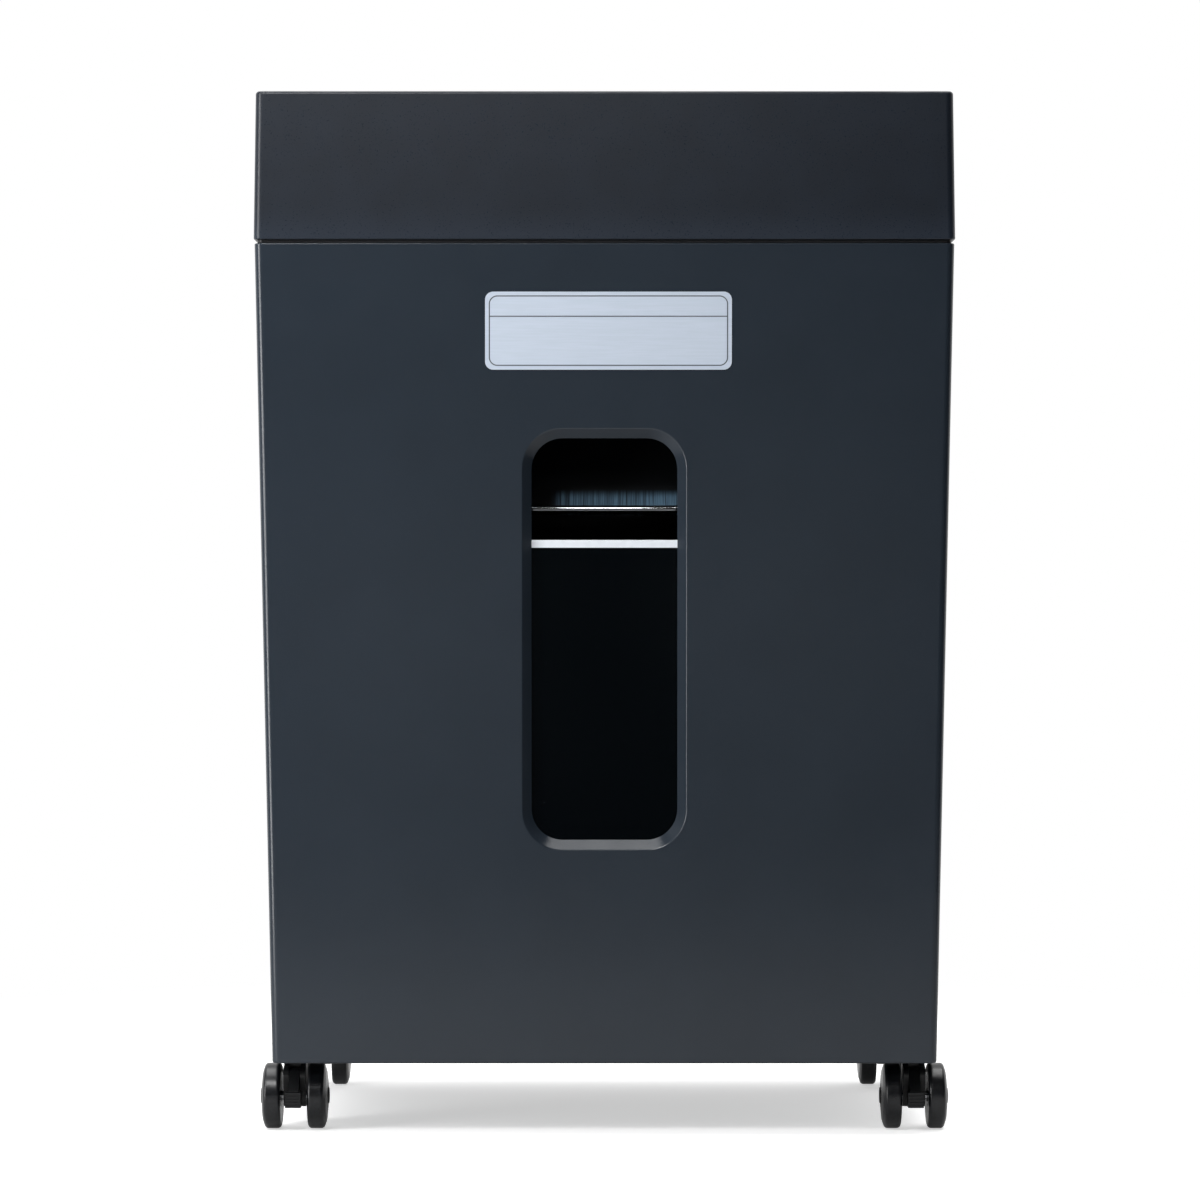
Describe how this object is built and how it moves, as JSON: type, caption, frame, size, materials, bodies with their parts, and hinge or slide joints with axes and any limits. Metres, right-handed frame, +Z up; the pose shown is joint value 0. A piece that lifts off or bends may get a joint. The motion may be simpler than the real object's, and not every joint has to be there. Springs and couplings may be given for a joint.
{
  "type": "paper shredder",
  "caption": "Upright office paper shredder on casters: drafted dark head with a wide throat over a cabinet with a pull-out windowed bin, geared cutters inside.",
  "frame": {"origin": "on the floor, under the middle of the head's footprint", "axes": "+Z up, -Y out of the front panel, +X to the right as seen from the front"},
  "size_m": [0.44, 0.33, 0.6555],
  "materials": {
    "body_plastic": "fine satin",
    "head_plastic": "fine grain with sparkle",
    "black_plastic": "satin",
    "nylon": "natural",
    "gloss_black": "gloss",
    "key_plastic": "satin silver",
    "lens": "clear tinted",
    "board": "solder mask",
    "plate_steel": "zinc plated",
    "bright_steel": "turned",
    "cutter_steel": "ground and oiled",
    "bronze": "sintered",
    "motor_paint": "baked enamel",
    "smoked_pane": "smoked clear sheet",
    "white_plastic": "gloss",
    "caster_plastic": "satin",
    "wheel_plastic": "satin"
  },
  "bodies": {
    "cabinet": {"cabinet_shell": "body_plastic", "caster_sockets": "nylon", "bin_rails": "nylon", "interlock_switch": "black_plastic", "head_base": "black_plastic", "cover_screws": "bright_steel", "exit_chute": "black_plastic", "head_cover": "head_plastic", "throat_liner": "black_plastic", "paper_sensor": "black_plastic", "control_panel": "gloss_black", "status_lenses": "lens", "control_board": "board", "side_plate_left": "plate_steel", "side_plate_right": "plate_steel", "tie_rods": "bright_steel", "shaft_bushes": "bronze", "stripper_comb_front": "black_plastic", "stripper_comb_rear": "black_plastic", "gear_cover": "black_plastic", "idler_axle": "bright_steel", "motor_body": "motor_paint", "power_switch_body": "black_plastic", "cord_gland": "black_plastic"},
    "bin": {"front_panel": "body_plastic", "window_pane": "smoked_pane", "window_edge_strip": "white_plastic", "waste_bin": "black_plastic", "bin_glides": "nylon", "panel_screws": "bright_steel"},
    "rear_cutter": {"rear_cutter_shaft": "bright_steel", "rear_cutter_discs": "cutter_steel", "rear_cutter_gear": "cutter_steel"},
    "front_cutter": {"front_cutter_shaft": "bright_steel", "front_cutter_discs": "cutter_steel", "front_cutter_gear": "cutter_steel"},
    "idler": {"idler_gear": "nylon"},
    "motor": {"motor_shaft": "bright_steel"},
    "power_button": {"power_button": "key_plastic"},
    "reverse_button": {"reverse_button": "key_plastic"},
    "forward_button": {"forward_button": "key_plastic"},
    "power_rocker": {"power_rocker": "gloss_black"},
    "caster_fl": {"caster_fl_yoke": "caster_plastic", "caster_fl_pins": "bright_steel"},
    "caster_fl_wheel_l": {"caster_fl_wheel_l": "wheel_plastic"},
    "caster_fl_wheel_r": {"caster_fl_wheel_r": "wheel_plastic"},
    "caster_fl_pedal": {"caster_fl_pedal": "caster_plastic"},
    "caster_fr": {"caster_fr_yoke": "caster_plastic", "caster_fr_pins": "bright_steel"},
    "caster_fr_wheel_l": {"caster_fr_wheel_l": "wheel_plastic"},
    "caster_fr_wheel_r": {"caster_fr_wheel_r": "wheel_plastic"},
    "caster_fr_pedal": {"caster_fr_pedal": "caster_plastic"},
    "caster_rl": {"caster_rl_yoke": "caster_plastic", "caster_rl_pins": "bright_steel"},
    "caster_rl_wheel_l": {"caster_rl_wheel_l": "wheel_plastic"},
    "caster_rl_wheel_r": {"caster_rl_wheel_r": "wheel_plastic"},
    "caster_rr": {"caster_rr_yoke": "caster_plastic", "caster_rr_pins": "bright_steel"},
    "caster_rr_wheel_l": {"caster_rr_wheel_l": "wheel_plastic"},
    "caster_rr_wheel_r": {"caster_rr_wheel_r": "wheel_plastic"}
  },
  "joints": [
    {"name": "bin_slide", "type": "slide", "parent": "cabinet", "child": "bin", "axis": [0, -1, 0], "range_m": [0, 0.28]},
    {"name": "rear_cutter_spin", "type": "hinge", "parent": "cabinet", "child": "rear_cutter", "pos_m": [0, 0.022, 0.606], "axis": [1, 0, 0], "continuous": true},
    {"name": "front_cutter_spin", "type": "hinge", "parent": "cabinet", "child": "front_cutter", "pos_m": [0, -0.022, 0.606], "axis": [1, 0, 0], "continuous": true},
    {"name": "idler_spin", "type": "hinge", "parent": "cabinet", "child": "idler", "pos_m": [0.186, 0.07, 0.606], "axis": [1, 0, 0], "continuous": true},
    {"name": "motor_spin", "type": "hinge", "parent": "cabinet", "child": "motor", "pos_m": [0.16, 0.115, 0.606], "axis": [1, 0, 0], "continuous": true},
    {"name": "rocker_tilt", "type": "hinge", "parent": "cabinet", "child": "power_rocker", "pos_m": [-0.148, 0.157, 0.603], "axis": [1, 0, 0], "range_deg": [0, 16]},
    {"name": "power_press", "type": "slide", "parent": "cabinet", "child": "power_button", "axis": [0, 0, -1], "range_m": [0, 0.0015], "stiffness_N_per_m": 400},
    {"name": "reverse_press", "type": "slide", "parent": "cabinet", "child": "reverse_button", "axis": [0, 0, -1], "range_m": [0, 0.0015], "stiffness_N_per_m": 400},
    {"name": "forward_press", "type": "slide", "parent": "cabinet", "child": "forward_button", "axis": [0, 0, -1], "range_m": [0, 0.0015], "stiffness_N_per_m": 400},
    {"name": "caster_fl_swivel", "type": "hinge", "parent": "cabinet", "child": "caster_fl", "pos_m": [-0.197, -0.101, 0.05], "axis": [0, 0, 1], "continuous": true},
    {"name": "caster_fl_wheel_l_roll", "type": "hinge", "parent": "caster_fl", "child": "caster_fl_wheel_l", "pos_m": [-0.21175, -0.118, 0.02075], "axis": [1, 0, 0], "continuous": true},
    {"name": "caster_fl_wheel_r_roll", "type": "hinge", "parent": "caster_fl", "child": "caster_fl_wheel_r", "pos_m": [-0.18225, -0.118, 0.02075], "axis": [1, 0, 0], "continuous": true},
    {"name": "caster_fl_pedal_press", "type": "hinge", "parent": "caster_fl", "child": "caster_fl_pedal", "pos_m": [-0.197, -0.123, 0.0345], "axis": [1, 0, 0], "range_deg": [0, 15]},
    {"name": "caster_fr_swivel", "type": "hinge", "parent": "cabinet", "child": "caster_fr", "pos_m": [0.197, -0.101, 0.05], "axis": [0, 0, 1], "continuous": true},
    {"name": "caster_fr_wheel_l_roll", "type": "hinge", "parent": "caster_fr", "child": "caster_fr_wheel_l", "pos_m": [0.18225, -0.118, 0.02075], "axis": [1, 0, 0], "continuous": true},
    {"name": "caster_fr_wheel_r_roll", "type": "hinge", "parent": "caster_fr", "child": "caster_fr_wheel_r", "pos_m": [0.21175, -0.118, 0.02075], "axis": [1, 0, 0], "continuous": true},
    {"name": "caster_fr_pedal_press", "type": "hinge", "parent": "caster_fr", "child": "caster_fr_pedal", "pos_m": [0.197, -0.123, 0.0345], "axis": [1, 0, 0], "range_deg": [0, 15]},
    {"name": "caster_rl_swivel", "type": "hinge", "parent": "cabinet", "child": "caster_rl", "pos_m": [-0.197, 0.101, 0.05], "axis": [0, 0, 1], "continuous": true},
    {"name": "caster_rl_wheel_l_roll", "type": "hinge", "parent": "caster_rl", "child": "caster_rl_wheel_l", "pos_m": [-0.21175, 0.118, 0.02075], "axis": [1, 0, 0], "continuous": true},
    {"name": "caster_rl_wheel_r_roll", "type": "hinge", "parent": "caster_rl", "child": "caster_rl_wheel_r", "pos_m": [-0.18225, 0.118, 0.02075], "axis": [1, 0, 0], "continuous": true},
    {"name": "caster_rr_swivel", "type": "hinge", "parent": "cabinet", "child": "caster_rr", "pos_m": [0.197, 0.101, 0.05], "axis": [0, 0, 1], "continuous": true},
    {"name": "caster_rr_wheel_l_roll", "type": "hinge", "parent": "caster_rr", "child": "caster_rr_wheel_l", "pos_m": [0.18225, 0.118, 0.02075], "axis": [1, 0, 0], "continuous": true},
    {"name": "caster_rr_wheel_r_roll", "type": "hinge", "parent": "caster_rr", "child": "caster_rr_wheel_r", "pos_m": [0.21175, 0.118, 0.02075], "axis": [1, 0, 0], "continuous": true}
  ],
  "couplings": [
    {"joint": "front_cutter_spin", "follows": "rear_cutter_spin", "ratio": -1},
    {"joint": "idler_spin", "follows": "rear_cutter_spin", "ratio": -3},
    {"joint": "motor_spin", "follows": "rear_cutter_spin", "ratio": 15}
  ]
}
